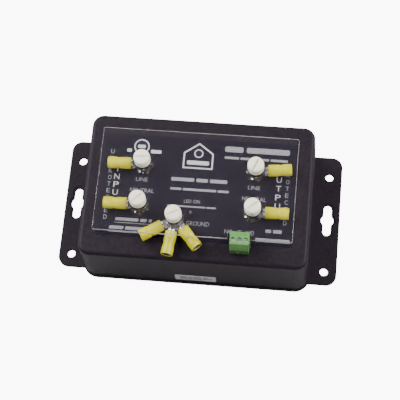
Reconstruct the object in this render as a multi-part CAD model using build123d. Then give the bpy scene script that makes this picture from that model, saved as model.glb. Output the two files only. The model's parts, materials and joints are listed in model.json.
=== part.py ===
from build123d import *
import os
from math import radians, sqrt, tan

# Hard-wired surge protector: a flanged moulded case with five stud terminals under a clear
# safety cover, and a three-pole alarm block. Millimetres. The origin is on the underside of the
# base, at the middle of its outline. +X runs from the input end to the output end, -Y is the
# front, +Z is up.

# ---- case ----
CASE_LENGTH = 127.0
CASE_WIDTH = 83.0
CASE_TOP = 42.0
CASE_CORNER = 6.5
CASE_EDGE = 2.2
DRAFT = 2.2
WALL = 2.4
ROOF = 2.6
BOSS_X, BOSS_Y = 54.5, 32.5
BOSS_RADIUS = 4.0

# ---- base ----
BASE_THICK = 2.5
BASE_REVEAL = 0.8
FLANGE_LENGTH = 162.1
FLANGE_WIDTH = 77.7
FLANGE_CORNER = 6.0
HOLE_X = 73.7
HOLE_SPACING_Y = 57.6
HOLE_SHIFT_Y = -2.4
HOLE_RADIUS = 2.4
KEYHOLE_X = 73.9
KEYHOLE_RADIUS = 3.7
KEYSLOT_WIDTH = 4.7
KEYSLOT_LENGTH = 18.7
KEYHOLE_RECESS = 0.4
EJECTOR_RADIUS = 2.7
EJECTOR_Y = 17.6
POST_X, POST_Y = 47.5, 28.0

# ---- label and stickers ----
LABEL_LENGTH = 109.2
LABEL_WIDTH = 60.0
LABEL_THICK = 0.2
LABEL_HOLE = 6.8

# ---- terminals ----
STUDS = {
    "line_in": (-31.1, 11.5),
    "neutral_in": (-31.1, -12.2),
    "ground": (-10.7, -19.2),
    "line_out": (31.9, 11.5),
    "neutral_out": (31.9, -12.2),
}
STUD_RADIUS = 2.35
STUD_TOP = 48.0
STUD_FOOT = 33.5
HEX_FLATS = 9.5
TONGUE_THICK = 0.9
TONGUE_RADIUS = 4.75
TONGUE_HOLE = 2.65
STAR_RADIUS = 5.2
STAR_THICK = 0.9
STAR_TEETH = 12
PHASE_SEAT = 44.1
GROUND_SEAT = 43.6
NUT_TURN = {"line_in": -16.0, "neutral_in": 21.0, "ground": 3.0, "line_out": -24.0, "neutral_out": 8.0}

# ---- ring terminals: angle of each one about its stud ----
PHASE_RINGS = {"line_in": 181.0, "neutral_in": 181.0, "line_out": 6.5, "neutral_out": 0.5}
GROUND_RINGS = {"ground_left": 211.5, "ground_mid": 263.4, "ground_right": 311.9}
BARREL_RISE = 2.05
BARREL_OUTER = 2.55
BARREL_INNER = 1.75
BARREL_LENGTH = 7.2
BARREL_BARE = 0.8
SLEEVE_LENGTH = 13.2
SLEEVE_BORE = 2.6
PHASE_SLEEVE_START = 6.7
GROUND_SLEEVE_START = 7.7

# ---- safety cover and its screws ----
COVER_LENGTH = 109.4
COVER_WIDTH = 60.0
COVER_THICK = 1.6
COVER_BOTTOM = 51.0
COVER_HOLE = 2.9
COVER_CORNER = 1.2
NOTCH_X0, NOTCH_X1 = 19.6, 32.4
NOTCH_BACK = -25.9
CAP_RADIUS = 4.55
CAP_HEIGHT = 6.6
CAP_EDGE = 1.4
CAP_SLOT_WIDTH = 1.0
CAP_SLOT_DEPTH = 1.0
CAP_SHANK_LENGTH = 4.4
NUT_BORE = 2.42
SLOT_TURN = {"line_in": 4.0, "neutral_in": 43.0, "ground": 25.0, "line_out": 68.0, "neutral_out": 40.0}

# ---- alarm block ----
POLES = {"nc": 22.75, "com": 26.25, "no": 29.75}
POLE_SCREW_TURN = {"nc": 92.0, "com": 6.0, "no": 38.0}
POLE_PITCH = 3.5
BLOCK_TOP = 55.0
BLOCK_BACK = -26.3
BLOCK_FRONT = -35.2
BLOCK_LIP_TOP = 49.0
BLOCK_SIDE = 0.8
SCREW_Y = -31.0
SCREW_HEAD_RADIUS = 1.2
SCREW_HEAD_GAP = 0.15
SCREW_SEAT_GAP = 0.06
SCREW_SLOT_WIDTH = 0.5
SCREW_SLOT_DEPTH = 0.8
SCREW_SHANK_RADIUS = 0.95
SCREW_HEAD_BOTTOM, SCREW_HEAD_TOP = 52.6, 54.0
CAGE_X, CAGE_Y = 2.7, 3.8
CAGE_BOTTOM, CAGE_TOP = 42.9, 48.9
CAGE_FLOOR, CAGE_ROOF = 43.5, 47.4
CAGE_RISE = 2.0
BAR_BOTTOM, BAR_TOP = 46.6, 47.2
PIN_Y = -28.4

# ---- boards ----
BOARD_THICK = 1.6
MAIN_BOARD_Z = 8.0
SIGNAL_BOARD_Z = 35.4
MAIN_TOP = MAIN_BOARD_Z + BOARD_THICK
STRAP_THICK = 1.2
STRAP_WIDTH = 6.0
STRAP_DROPS = {"line_in": -46.6, "neutral_in": -46.6, "ground": -24.0, "line_out": 46.6, "neutral_out": 46.6}
SIGNAL_BOSSES = ((33.0, -33.5), (-0.5, -23.5))
LED_XY = (-2.6, -13.5)
LED_RADIUS = 1.5
PIPE_RADIUS = 1.75

# ---- parts on the main board ----
LEAD_RADIUS = 0.45
VARISTOR_X = {"line_neutral": -36.0, "line_ground": -12.5, "neutral_ground": 11.0}
VARISTOR_Y = 27.5
CUTOFF_Y = VARISTOR_Y - 4.9
CUTOFF_SPAN = 6.5
GAS_TUBE_XY = (-38.0, -26.0)
CAPACITOR_LEADS = (26.0, 41.0)
CHOKE_XY = (2.0, 2.0)
CHOKE_LOW, CHOKE_HIGH = MAIN_TOP + 2.0, MAIN_TOP + 15.0
CHOKE_OUTER, CHOKE_INNER = 15.0, 8.0
WIRE_RADIUS = 0.8

# ---- alarm relay, hanging under the signal board ----
RELAY_X0, RELAY_X1 = 2.0, 21.0
RELAY_Y = -28.5
RELAY_WIDTH = 15.0
RELAY_BOTTOM = 17.3
RELAY_COIL_X = 10.2
ARMATURE_TOP = 21.2
ARMATURE_PIVOT_X = 17.0

ROOT3 = sqrt(3.0)
BODY_GROW = (CASE_TOP - BASE_THICK) * tan(radians(DRAFT))


def box(x0, x1, y0, y1, z0, z1):
    """A box given by its two corners."""
    middle = ((x0 + x1) / 2, (y0 + y1) / 2, (z0 + z1) / 2)
    return Pos(*middle) * Box(x1 - x0, y1 - y0, z1 - z0)


def rod(x, y, z0, z1, radius):
    """An upright cylinder."""
    return Pos(x, y, (z0 + z1) / 2) * Cylinder(radius, z1 - z0)


def hex_nut(x, y, z0, z1, bore, turn):
    """A hexagon nut with both rims turned down to the corner circle's chamfer."""
    corner = HEX_FLATS / ROOT3
    middle = (z0 + z1) / 2
    blank = extrude(RegularPolygon(corner, 6), z1 - z0)
    blank = Pos(x, y, z0) * Rot(0, 0, turn) * blank
    rim = Pos(x, y, middle) * Cylinder(corner + 0.05, z1 - z0)
    rim = chamfer(rim.edges().filter_by(GeomType.CIRCLE), 0.45)
    return (blank & rim) - rod(x, y, z0 - 1, z1 + 1, bore)


def slotted_hole(length, width, depth):
    """An upright slot cutter that runs along Y."""
    return extrude(Rot(0, 0, 90) * SlotOverall(length, width), depth)


def on_stud(name, shape):
    x, y = STUDS[name]
    return Pos(x, y, 0) * shape


# ------------------------------------------------------------------ enclosure
def drafted_block(length, width, corner, z0, z1):
    """A block whose walls lean in by the draft angle as they rise."""
    outline = RectangleRounded(length, width, corner)
    return Pos(0, 0, z0) * extrude(outline, z1 - z0, taper=DRAFT)


def enclosure_shell():
    length = CASE_LENGTH + 2 * BODY_GROW
    width = CASE_WIDTH + 2 * BODY_GROW
    outer = drafted_block(length, width, CASE_CORNER + BODY_GROW, BASE_THICK, CASE_TOP)
    outer = fillet(outer.faces().sort_by(Axis.Z)[-1].edges(), CASE_EDGE)
    inner = drafted_block(length - 2 * WALL, width - 2 * WALL, CASE_CORNER, BASE_THICK, CASE_TOP - ROOF)
    shell = outer - inner
    roof = CASE_TOP - ROOF
    for sx in (-1, 1):
        for sy in (-1, 1):
            boss = rod(sx * BOSS_X, sy * BOSS_Y, BASE_THICK, roof, BOSS_RADIUS)
            pilot = rod(sx * BOSS_X, sy * BOSS_Y, BASE_THICK - 1, BASE_THICK + 14, 1.45)
            shell = shell + boss - pilot
    for x, y in SIGNAL_BOSSES:
        shell = shell + rod(x, y, SIGNAL_BOARD_Z + BOARD_THICK, roof, 3.0)
        shell = shell - rod(x, y, SIGNAL_BOARD_Z, CASE_TOP - 1.0, 1.05)
    for x, y in STUDS.values():
        shell = shell - rod(x, y, roof - 1, CASE_TOP + 1, STUD_RADIUS)
    for x in POLES.values():
        shell = shell - rod(x, PIN_Y, roof - 1, CASE_TOP + 1, 0.9)
    return shell - rod(*LED_XY, roof - 1, CASE_TOP + 1, PIPE_RADIUS)


def base_plate():
    length = CASE_LENGTH + 2 * BODY_GROW + 2 * BASE_REVEAL
    width = CASE_WIDTH + 2 * BODY_GROW + 2 * BASE_REVEAL
    plate = extrude(RectangleRounded(length, width, CASE_CORNER + BODY_GROW + BASE_REVEAL), BASE_THICK)
    plate = plate + extrude(RectangleRounded(FLANGE_LENGTH, FLANGE_WIDTH, FLANGE_CORNER), BASE_THICK)
    top_rim = plate.faces().sort_by(Axis.Z)[-1].edges()
    plate = chamfer(top_rim, 0.35)
    lip_length = length - 2 * (BASE_REVEAL + WALL + 0.25)
    lip_width = width - 2 * (BASE_REVEAL + WALL + 0.25)
    lip = RectangleRounded(lip_length, lip_width, CASE_CORNER - 0.5)
    lip = lip - RectangleRounded(lip_length - 3.6, lip_width - 3.6, CASE_CORNER - 2.3)
    plate = plate + Pos(0, 0, BASE_THICK) * extrude(lip, 3.0)
    for sx in (-1, 1):
        for sy in (-1, 1):
            x, y = sx * POST_X, sy * POST_Y
            plate = plate + rod(x, y, BASE_THICK, MAIN_BOARD_Z, 3.2) - rod(x, y, 1.2, MAIN_BOARD_Z + 1, 1.25)
            x, y = sx * BOSS_X, sy * BOSS_Y
            plate = plate - rod(x, y, -1, BASE_THICK + 1, 1.7)
            sink = Pos(x, y, 0.75) * Cone(3.3, 1.7, 1.6)
            plate = plate - sink - rod(x, y, -1, 0, 3.3)
            y = HOLE_SHIFT_Y + sy * HOLE_SPACING_Y / 2
            plate = plate - rod(sx * HOLE_X, y, -1, BASE_THICK + 1, HOLE_RADIUS)
            y = HOLE_SHIFT_Y + sy * EJECTOR_Y
            plate = plate - rod(sx * HOLE_X, y, BASE_THICK - 0.15, BASE_THICK + 1, EJECTOR_RADIUS)
        cutter = slotted_hole(KEYSLOT_LENGTH, KEYSLOT_WIDTH, BASE_THICK + 2) + Cylinder(KEYHOLE_RADIUS, 8)
        relief = slotted_hole(KEYSLOT_LENGTH + 2, KEYSLOT_WIDTH + 2, 2)
        relief = relief + Pos(0, 0, 1) * Cylinder(KEYHOLE_RADIUS + 1, 2)
        plate = plate - Pos(sx * KEYHOLE_X, 0, -1) * cutter
        plate = plate - Pos(sx * KEYHOLE_X, 0, BASE_THICK - KEYHOLE_RECESS) * relief
    return plate


def base_screws():
    """Countersunk screws that rise through the base into the case bosses."""
    screws = []
    for sx in (-1, 1):
        for sy in (-1, 1):
            x, y = sx * BOSS_X, sy * BOSS_Y
            screw = rod(x, y, 1.4, BASE_THICK + 12, 1.45)
            screw = screw + Pos(x, y, 0.8) * Cone(3.1, 1.45, 1.4)
            cross = Box(3.2, 0.7, 2) + Box(0.7, 3.2, 2)
            screws.append(screw - Pos(x, y, -0.1) * cross)
    return screws


def label_panel():
    outline = RectangleRounded(LABEL_LENGTH, LABEL_WIDTH, 1.5)
    for x, y in STUDS.values():
        outline = outline - Pos(x, y) * Circle(LABEL_HOLE)
    middle_x = POLES["com"]
    middle_y = (BLOCK_BACK + BLOCK_FRONT) / 2
    outline = outline - Pos(middle_x, middle_y) * Rectangle(12.0, BLOCK_BACK - BLOCK_FRONT + 0.8)
    outline = outline - Pos(*LED_XY) * Circle(PIPE_RADIUS)
    return Pos(0, 0, CASE_TOP) * extrude(outline, LABEL_THICK)


def front_sticker():
    """A small tag that lies on the leaning front wall."""
    height, length, thick, z = 8.9, 23.6, 0.12, 10.8
    wall_y = -(CASE_WIDTH / 2 + (CASE_TOP - z) * tan(radians(DRAFT)))
    tag = Rot(90, 0, 0) * extrude(RectangleRounded(length, height, 1.2), thick)
    return Pos(1.0, wall_y, z) * Rot(-DRAFT, 0, 0) * tag


# ------------------------------------------------------------------ terminals
def terminal_studs():
    studs = []
    for x, y in STUDS.values():
        stud = rod(x, y, STUD_FOOT, STUD_TOP, STUD_RADIUS)
        studs.append(chamfer(stud.edges().filter_by(GeomType.CIRCLE), 0.4))
    return studs


def seat(name):
    return GROUND_SEAT if name == "ground" else PHASE_SEAT


def stack_top(name):
    """Top of the tongues on a stud: one on a phase stud, three on the ground stud."""
    count = len(GROUND_RINGS) if name == "ground" else 1
    return seat(name) + count * TONGUE_THICK


def base_nuts():
    return [hex_nut(*STUDS[n], CASE_TOP, seat(n), STUD_RADIUS, NUT_TURN[n] + 17) for n in STUDS]


def inner_nuts():
    top = CASE_TOP - ROOF - STRAP_THICK
    return [hex_nut(*STUDS[n], top - 3.2, top, STUD_RADIUS, NUT_TURN[n]) for n in STUDS]


def star_washer(name):
    """An external-tooth lock washer with twisted teeth."""
    z0 = stack_top(name)
    middle = z0 + STAR_THICK / 2
    ring = Pos(0, 0, middle) * (Cylinder(3.95, STAR_THICK) - Cylinder(TONGUE_HOLE, 2))
    for index in range(STAR_TEETH):
        tooth = Pos(4.5, 0, 0) * Rot(22, 0, 0) * Box(1.3, 1.35, 0.4)
        ring = ring + Pos(0, 0, middle) * Rot(0, 0, index * 360 / STAR_TEETH + 8) * tooth
    return on_stud(name, ring & Pos(0, 0, middle) * Cylinder(STAR_RADIUS, STAR_THICK))


def clamp_nuts():
    """The tall hexagon nuts that hold the tongues down and carry the safety cover."""
    nuts = []
    for name in STUDS:
        z0 = stack_top(name) + STAR_THICK
        nuts.append(hex_nut(*STUDS[name], z0, COVER_BOTTOM, NUT_BORE, NUT_TURN[name]))
    return nuts


def ring_tongue(stud, angle, z0, start):
    """A ring terminal: the flat ring, its neck, and the barrel that the wire is crimped in."""
    axis_z = z0 + BARREL_RISE
    ring = rod(0, 0, z0, z0 + TONGUE_THICK, TONGUE_RADIUS)
    neck = box(0, start - 0.05, -2.5, 2.5, z0, z0 + TONGUE_THICK)
    barrel_start = start - BARREL_BARE
    bore_length = BARREL_LENGTH + 1
    barrel = Pos(barrel_start + BARREL_LENGTH / 2, 0, axis_z) * Rot(0, 90, 0) * Cylinder(BARREL_OUTER, BARREL_LENGTH)
    bore = Pos(barrel_start + bore_length / 2, 0, axis_z) * Rot(0, 90, 0) * Cylinder(BARREL_INNER, bore_length)
    body = ring + neck + barrel - bore
    body = body - rod(0, 0, z0 - 1, z0 + TONGUE_THICK + 1, TONGUE_HOLE)
    return on_stud(stud, Rot(0, 0, angle) * body)


def sleeve(stud, angle, z0, start):
    """The vinyl sleeve over a barrel: waisted, with a slight bell where the wire goes in."""
    profile = Polyline(
        (start, SLEEVE_BORE),
        (start, 3.2),
        (start + 0.4, 3.32),
        (start + 4.2, 3.3),
        (start + 7.4, 3.12),
        (start + 8.2, 3.16),
        (start + SLEEVE_LENGTH - 0.6, 3.38),
        (start + SLEEVE_LENGTH, 3.35),
        (start + SLEEVE_LENGTH, 2.95),
        (start + SLEEVE_LENGTH - 1.4, SLEEVE_BORE),
        (start, SLEEVE_BORE),
    )
    section = make_face(Plane.XZ * profile)
    tube = Pos(0, 0, z0 + BARREL_RISE) * revolve(section, Axis.X)
    return on_stud(stud, Rot(0, 0, angle) * tube)


# ------------------------------------------------------------------ safety cover
def safety_cover():
    plate = extrude(RectangleRounded(COVER_LENGTH, COVER_WIDTH, COVER_CORNER), COVER_THICK)
    plate = Pos(0, 0, COVER_BOTTOM) * plate
    front = -COVER_WIDTH / 2
    notch = box(NOTCH_X0, NOTCH_X1, front - 2, NOTCH_BACK, COVER_BOTTOM - 1, COVER_BOTTOM + COVER_THICK + 1)
    plate = plate - notch
    for x, y in STUDS.values():
        plate = plate - rod(x, y, COVER_BOTTOM - 1, COVER_BOTTOM + COVER_THICK + 1, COVER_HOLE)
    return plate


def cover_screw(name):
    """A slotted nylon thumb screw: tall round head on a plain shank."""
    z0 = COVER_BOTTOM + COVER_THICK
    head = rod(0, 0, z0, z0 + CAP_HEIGHT, CAP_RADIUS)
    head = fillet(head.edges().sort_by(Axis.Z)[-1], CAP_EDGE)
    slot_floor = z0 + CAP_HEIGHT - CAP_SLOT_DEPTH
    half = CAP_SLOT_WIDTH / 2
    slot = box(-6, 6, -half, half, slot_floor, z0 + CAP_HEIGHT + 1)
    head = head - Rot(0, 0, SLOT_TURN[name]) * slot
    shank = rod(0, 0, z0 - CAP_SHANK_LENGTH, z0, STUD_RADIUS)
    return on_stud(name, head + shank)


# ------------------------------------------------------------------ alarm block
def block_housing():
    x0 = POLES["nc"] - POLE_PITCH / 2
    x1 = POLES["no"] + POLE_PITCH / 2
    side = Polyline(
        (BLOCK_BACK, CASE_TOP),
        (BLOCK_BACK, BLOCK_TOP - 0.7),
        (BLOCK_BACK - 0.3, BLOCK_TOP - 0.4),
        (BLOCK_BACK - 2.5, BLOCK_TOP - 0.4),
        (BLOCK_BACK - 2.8, BLOCK_TOP),
        (BLOCK_FRONT + 1.6, BLOCK_TOP),
        (BLOCK_FRONT + 0.7, BLOCK_TOP - 3.0),
        (BLOCK_FRONT, BLOCK_LIP_TOP - 0.8),
        (BLOCK_FRONT, CASE_TOP),
        (BLOCK_BACK, CASE_TOP),
    )
    body = Pos(x0, 0, 0) * extrude(make_face(Plane.YZ * side), x1 - x0)
    hollow = Polyline(
        (BLOCK_FRONT - 0.5, BLOCK_TOP - 3.0),
        (BLOCK_FRONT + 1.6, BLOCK_TOP - 3.2),
        (BLOCK_FRONT + 1.6, BLOCK_LIP_TOP + 0.4),
        (BLOCK_FRONT - 0.5, BLOCK_LIP_TOP),
        (BLOCK_FRONT - 0.5, BLOCK_TOP - 3.0),
    )
    width = x1 - x0 - 2 * BLOCK_SIDE
    body = body - Pos(x0 + BLOCK_SIDE, 0, 0) * extrude(make_face(Plane.YZ * hollow), width)
    rib = box(x1 - 0.2, x1 + 0.4, SCREW_Y - 1.2, SCREW_Y + 0.2, CASE_TOP + 1.5, BLOCK_TOP - 2.0)
    groove = box(x0 - 0.1, x0 + 0.15, SCREW_Y - 1.3, SCREW_Y + 0.3, CASE_TOP + 1.4, BLOCK_TOP - 1.9)
    body = body + rib - groove
    for x in POLES.values():
        body = body - box(x - 1.43, x + 1.43, SCREW_Y - 2.0, SCREW_Y + 2.0, CASE_TOP + 0.6, 51.4)
        body = body - rod(x, SCREW_Y, 51.0, 53.0, 1.02)
        seat = SCREW_HEAD_BOTTOM - SCREW_SEAT_GAP
        body = body - rod(x, SCREW_Y, seat, BLOCK_TOP + 1, SCREW_HEAD_RADIUS + SCREW_HEAD_GAP)
        mouth = Pos(x, BLOCK_FRONT, 45.05) * Rot(-90, 0, 0) * Pos(0, 0, -0.01)
        wide = mouth * RectangleRounded(2.7, 3.5, 0.5)
        narrow = mouth * Pos(0, 0, 2.4) * RectangleRounded(2.0, 2.9, 0.4)
        body = body - loft([wide, narrow])
        body = body - box(x - 0.85, x + 0.85, SCREW_Y + 1.5, PIN_Y + 0.35, BAR_BOTTOM - 0.05, BAR_TOP + 0.05)
        body = body - box(x - 0.6, x + 0.6, PIN_Y - 0.35, PIN_Y + 0.35, CASE_TOP - 1, BAR_TOP + 0.05)
    return body


def block_screw(x, turn):
    head = rod(x, SCREW_Y, SCREW_HEAD_BOTTOM, SCREW_HEAD_TOP, SCREW_HEAD_RADIUS)
    shank = rod(x, SCREW_Y, CAGE_ROOF, SCREW_HEAD_BOTTOM, SCREW_SHANK_RADIUS)
    half_width = SCREW_SLOT_WIDTH / 2
    slot = box(-2, 2, -half_width, half_width, SCREW_HEAD_TOP - SCREW_SLOT_DEPTH, SCREW_HEAD_TOP + 1)
    return head + shank - Pos(x, SCREW_Y, 0) * Rot(0, 0, turn) * slot


def block_clamp(x):
    """A rising cage: its floor lifts the wire against the fixed bar as the screw turns."""
    half_x, half_y = CAGE_X / 2, CAGE_Y / 2
    cage = box(x - half_x, x + half_x, SCREW_Y - half_y, SCREW_Y + half_y, CAGE_BOTTOM, CAGE_TOP)
    cage = cage - box(x - 0.85, x + 0.85, SCREW_Y - 3, SCREW_Y + 3, CAGE_FLOOR, CAGE_ROOF)
    hole_bottom = CAGE_ROOF - CAGE_RISE - 0.3
    return cage - rod(x, SCREW_Y, hole_bottom, CAGE_TOP + 1, SCREW_SHANK_RADIUS + 0.06)


def block_pins():
    """Fixed contact bars, each with a leg down to the signal board."""
    pins = []
    for x in POLES.values():
        bar = box(x - 0.75, x + 0.75, SCREW_Y - 1.7, PIN_Y + 0.3, BAR_BOTTOM, BAR_TOP)
        leg = box(x - 0.5, x + 0.5, PIN_Y - 0.3, PIN_Y + 0.3, SIGNAL_BOARD_Z - 1.4, BAR_TOP)
        pins.append(bar + leg)
    return pins


# ------------------------------------------------------------------ boards and straps
def main_board():
    board = extrude(RectangleRounded(114.0, 70.0, 2.0), BOARD_THICK)
    board = Pos(0, 0, MAIN_BOARD_Z) * board
    for sx in (-1, 1):
        for sy in (-1, 1):
            board = board - rod(sx * BOSS_X, sy * BOSS_Y, 5, 12, BOSS_RADIUS + 1.0)
            board = board - rod(sx * POST_X, sy * POST_Y, 5, 12, 1.7)
    for name, (x, y) in STUDS.items():
        drop = STRAP_DROPS[name]
        board = board - box(drop - 0.8, drop + 0.8, y - 1.7, y + 1.7, 5, 12)
    for x, y in lead_places():
        board = board - rod(x, y, 5, 12, LEAD_RADIUS + 0.15)
    return board


def board_screws():
    screws = []
    for sx in (-1, 1):
        for sy in (-1, 1):
            x, y = sx * POST_X, sy * POST_Y
            screw = rod(x, y, MAIN_BOARD_Z - 5.5, MAIN_TOP, 1.25) + rod(x, y, MAIN_TOP, MAIN_TOP + 1.8, 2.7)
            screws.append(screw - box(x - 3, x + 3, y - 0.4, y + 0.4, MAIN_TOP + 1.0, MAIN_TOP + 3))
    return screws


def strap(x, y, drop_x):
    """A copper strap: an eye under the roof, an arm out, and a leg down through the board."""
    top = CASE_TOP - ROOF
    low = top - STRAP_THICK
    half = STRAP_WIDTH / 2
    side = 1 if drop_x > x else -1
    outer = drop_x + side * STRAP_THICK / 2
    eye = rod(x, y, low, top, 5.2)
    arm = box(min(x, outer), max(x, outer), y - half, y + half, low, top)
    inner = drop_x - side * STRAP_THICK / 2
    leg = box(min(inner, outer), max(inner, outer), y - half, y + half, MAIN_TOP + 0.6, top)
    tail = box(min(inner, outer), max(inner, outer), y - 1.5, y + 1.5, MAIN_BOARD_Z - 1.4, top)
    return eye + arm + leg + tail - rod(x, y, low - 1, top + 1, STUD_RADIUS)


def terminal_straps():
    return [strap(x, y, STRAP_DROPS[name]) for name, (x, y) in STUDS.items()]


def signal_board():
    outline = Pos(15.8, -28.7) * Rectangle(40.4, 17.0)
    outline = outline + Pos(-0.2, -14.85) * Rectangle(8.4, 11.1)
    board = Pos(0, 0, SIGNAL_BOARD_Z) * extrude(outline, BOARD_THICK)
    for x, y in SIGNAL_BOSSES:
        board = board - rod(x, y, 30, 40, 1.4)
    for x in POLES.values():
        board = board - box(x - 0.6, x + 0.6, PIN_Y - 0.4, PIN_Y + 0.4, 30, 40)
    return board


def signal_board_screws():
    screws = []
    for x, y in SIGNAL_BOSSES:
        screw = rod(x, y, SIGNAL_BOARD_Z, CASE_TOP - 1.4, 1.05)
        screw = screw + rod(x, y, SIGNAL_BOARD_Z - 1.5, SIGNAL_BOARD_Z, 2.2)
        screws.append(screw - box(x - 3, x + 3, y - 0.3, y + 0.3, SIGNAL_BOARD_Z - 2, SIGNAL_BOARD_Z - 0.8))
    return screws


# ------------------------------------------------------------------ surge parts
def lead_places():
    """Where the wire leads pass through the main board."""
    places = []
    for x in VARISTOR_X.values():
        places += [(x - 3.75, VARISTOR_Y - 0.9), (x + 3.75, VARISTOR_Y + 0.9)]
        places += [(x - CUTOFF_SPAN, CUTOFF_Y), (x + CUTOFF_SPAN, CUTOFF_Y)]
    places += [(GAS_TUBE_XY[0] + side * 3.4, GAS_TUBE_XY[1]) for side in (-1, 1)]
    places += [(x, 26.0) for x in CAPACITOR_LEADS]
    return places


def lead(x, y, top):
    """A wire that ends just under the main board."""
    return rod(x, y, MAIN_BOARD_Z - 1.2, top, LEAD_RADIUS)


def varistor(x, y):
    """A coated disc that stands on two wires."""
    centre_z = MAIN_TOP + 13.2
    disc = Pos(x, y, centre_z) * Rot(90, 0, 0) * Cylinder(10.0, 5.2)
    disc = fillet(disc.edges().filter_by(GeomType.CIRCLE), 1.6)
    for side in (-1, 1):
        disc = disc + lead(x + side * 3.75, y + side * 0.9, centre_z - 7)
    return disc


def thermal_cutoffs():
    """Small fuses that lie against the discs and open when a disc overheats."""
    cutoffs = []
    z = MAIN_TOP + 12.0
    for x in VARISTOR_X.values():
        lying = Pos(x, CUTOFF_Y, z) * Rot(0, 90, 0)
        body = lying * Cylinder(2.0, 9.0) + lying * Cylinder(LEAD_RADIUS, 2 * (CUTOFF_SPAN + LEAD_RADIUS))
        for side in (-1, 1):
            body = body + lead(x + side * CUTOFF_SPAN, CUTOFF_Y, z)
        cutoffs.append(body)
    return cutoffs


def gas_tube():
    x, y = GAS_TUBE_XY
    z = MAIN_TOP + 4.4
    tube = Pos(x, y, z) * Rot(0, 90, 0) * Cylinder(4.0, 6.0)
    for side in (-1, 1):
        cap = Pos(x + side * 3.4, y, z) * Rot(0, 90, 0) * Cylinder(3.4, 0.8)
        tube = tube + cap + lead(x + side * 3.4, y, z)
    return tube


def capacitor():
    body = box(23.5, 43.5, 21.0, 31.0, MAIN_TOP, MAIN_TOP + 18.0)
    body = fillet(body.edges().filter_by(Axis.Z), 0.8)
    for x in CAPACITOR_LEADS:
        body = body + lead(x, 26.0, MAIN_TOP + 1)
    return body


def choke_core():
    ring = Cylinder(CHOKE_OUTER, CHOKE_HIGH - CHOKE_LOW) - Cylinder(CHOKE_INNER, 30)
    ring = fillet(ring.edges().filter_by(GeomType.CIRCLE), 1.2)
    return Pos(*CHOKE_XY, (CHOKE_LOW + CHOKE_HIGH) / 2) * ring


def choke_windings():
    """Two banks of wire loops on opposite halves of the toroid."""
    gap = WIRE_RADIUS + 0.1
    width = CHOKE_OUTER - CHOKE_INNER + 2 * gap
    height = CHOKE_HIGH - CHOKE_LOW + 2 * gap
    middle = (CHOKE_OUTER + CHOKE_INNER) / 2
    path = (Pos(middle, 0, 0) * Plane.XZ * RectangleRounded(width, height, 1.4)).face().outer_wire()
    section = Plane(origin=(middle + width / 2, 0, 0), z_dir=(0, 0, 1)) * Circle(WIRE_RADIUS)
    loop = sweep(section, path)
    place = Pos(*CHOKE_XY, (CHOKE_LOW + CHOKE_HIGH) / 2)
    turns = []
    for bank in (90.0, 270.0):
        for index in range(8):
            turns.append(place * Rot(0, 0, bank + (index - 3.5) * 17.0) * loop)
    return turns


# ------------------------------------------------------------------ alarm relay
def relay_base():
    z1 = SIGNAL_BOARD_Z
    half = RELAY_WIDTH / 2 - 0.9
    return box(RELAY_X0 + 0.9, RELAY_X1 - 0.9, RELAY_Y - half, RELAY_Y + half, z1 - 1.3, z1)


def relay_cover():
    half = RELAY_WIDTH / 2
    top = SIGNAL_BOARD_Z - 0.3
    skin = 0.8
    outer = box(RELAY_X0, RELAY_X1, RELAY_Y - half, RELAY_Y + half, RELAY_BOTTOM, top)
    outer = fillet(outer.edges().filter_by(Axis.Z), skin)
    half = half - skin
    floor = RELAY_BOTTOM + skin
    return outer - box(RELAY_X0 + skin, RELAY_X1 - skin, RELAY_Y - half, RELAY_Y + half, floor, top + 1)


def relay_coil():
    """The bobbin and the winding on it."""
    low, high = ARMATURE_TOP + 1.5, SIGNAL_BOARD_Z - 2.5
    spool = rod(RELAY_COIL_X, RELAY_Y, low, high, 2.6)
    spool = spool + rod(RELAY_COIL_X, RELAY_Y, low, low + 0.8, 5.4)
    spool = spool + rod(RELAY_COIL_X, RELAY_Y, high - 0.8, high, 5.4)
    spool = spool - rod(RELAY_COIL_X, RELAY_Y, low - 1, high + 1, 1.9)
    wire = rod(RELAY_COIL_X, RELAY_Y, low + 0.8, high - 0.8, 4.7) - rod(RELAY_COIL_X, RELAY_Y, low, high, 2.6)
    return [spool, wire]


def relay_yoke():
    """The steel circuit: core, top plate and the leg that the armature rocks on."""
    plate_low, plate_high = SIGNAL_BOARD_Z - 2.5, SIGNAL_BOARD_Z - 1.3
    leg_x = ARMATURE_PIVOT_X
    core = rod(RELAY_COIL_X, RELAY_Y, ARMATURE_TOP + 0.9, plate_low + 0.1, 1.9)
    pole = rod(RELAY_COIL_X, RELAY_Y, ARMATURE_TOP + 0.9, ARMATURE_TOP + 1.5, 3.0)
    plate = box(RELAY_COIL_X - 4, leg_x + 0.6, RELAY_Y - 5, RELAY_Y + 5, plate_low, plate_high)
    leg = box(leg_x - 0.6, leg_x + 0.6, RELAY_Y - 5, RELAY_Y + 5, ARMATURE_TOP + 0.3, plate_high)
    return core + pole + plate + leg


def relay_armature():
    """The rocking plate, with its contact blade and both contact buttons."""
    top = ARMATURE_TOP
    plate = box(6.0, ARMATURE_PIVOT_X + 1.0, RELAY_Y - 4.6, RELAY_Y + 4.6, top - 1.0, top)
    blade = box(3.7, 10.0, RELAY_Y - 1.0, RELAY_Y + 1.0, top - 1.3, top - 1.0)
    return plate + blade + rod(4.5, RELAY_Y, top - 1.65, top - 0.65, 0.75)


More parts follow.
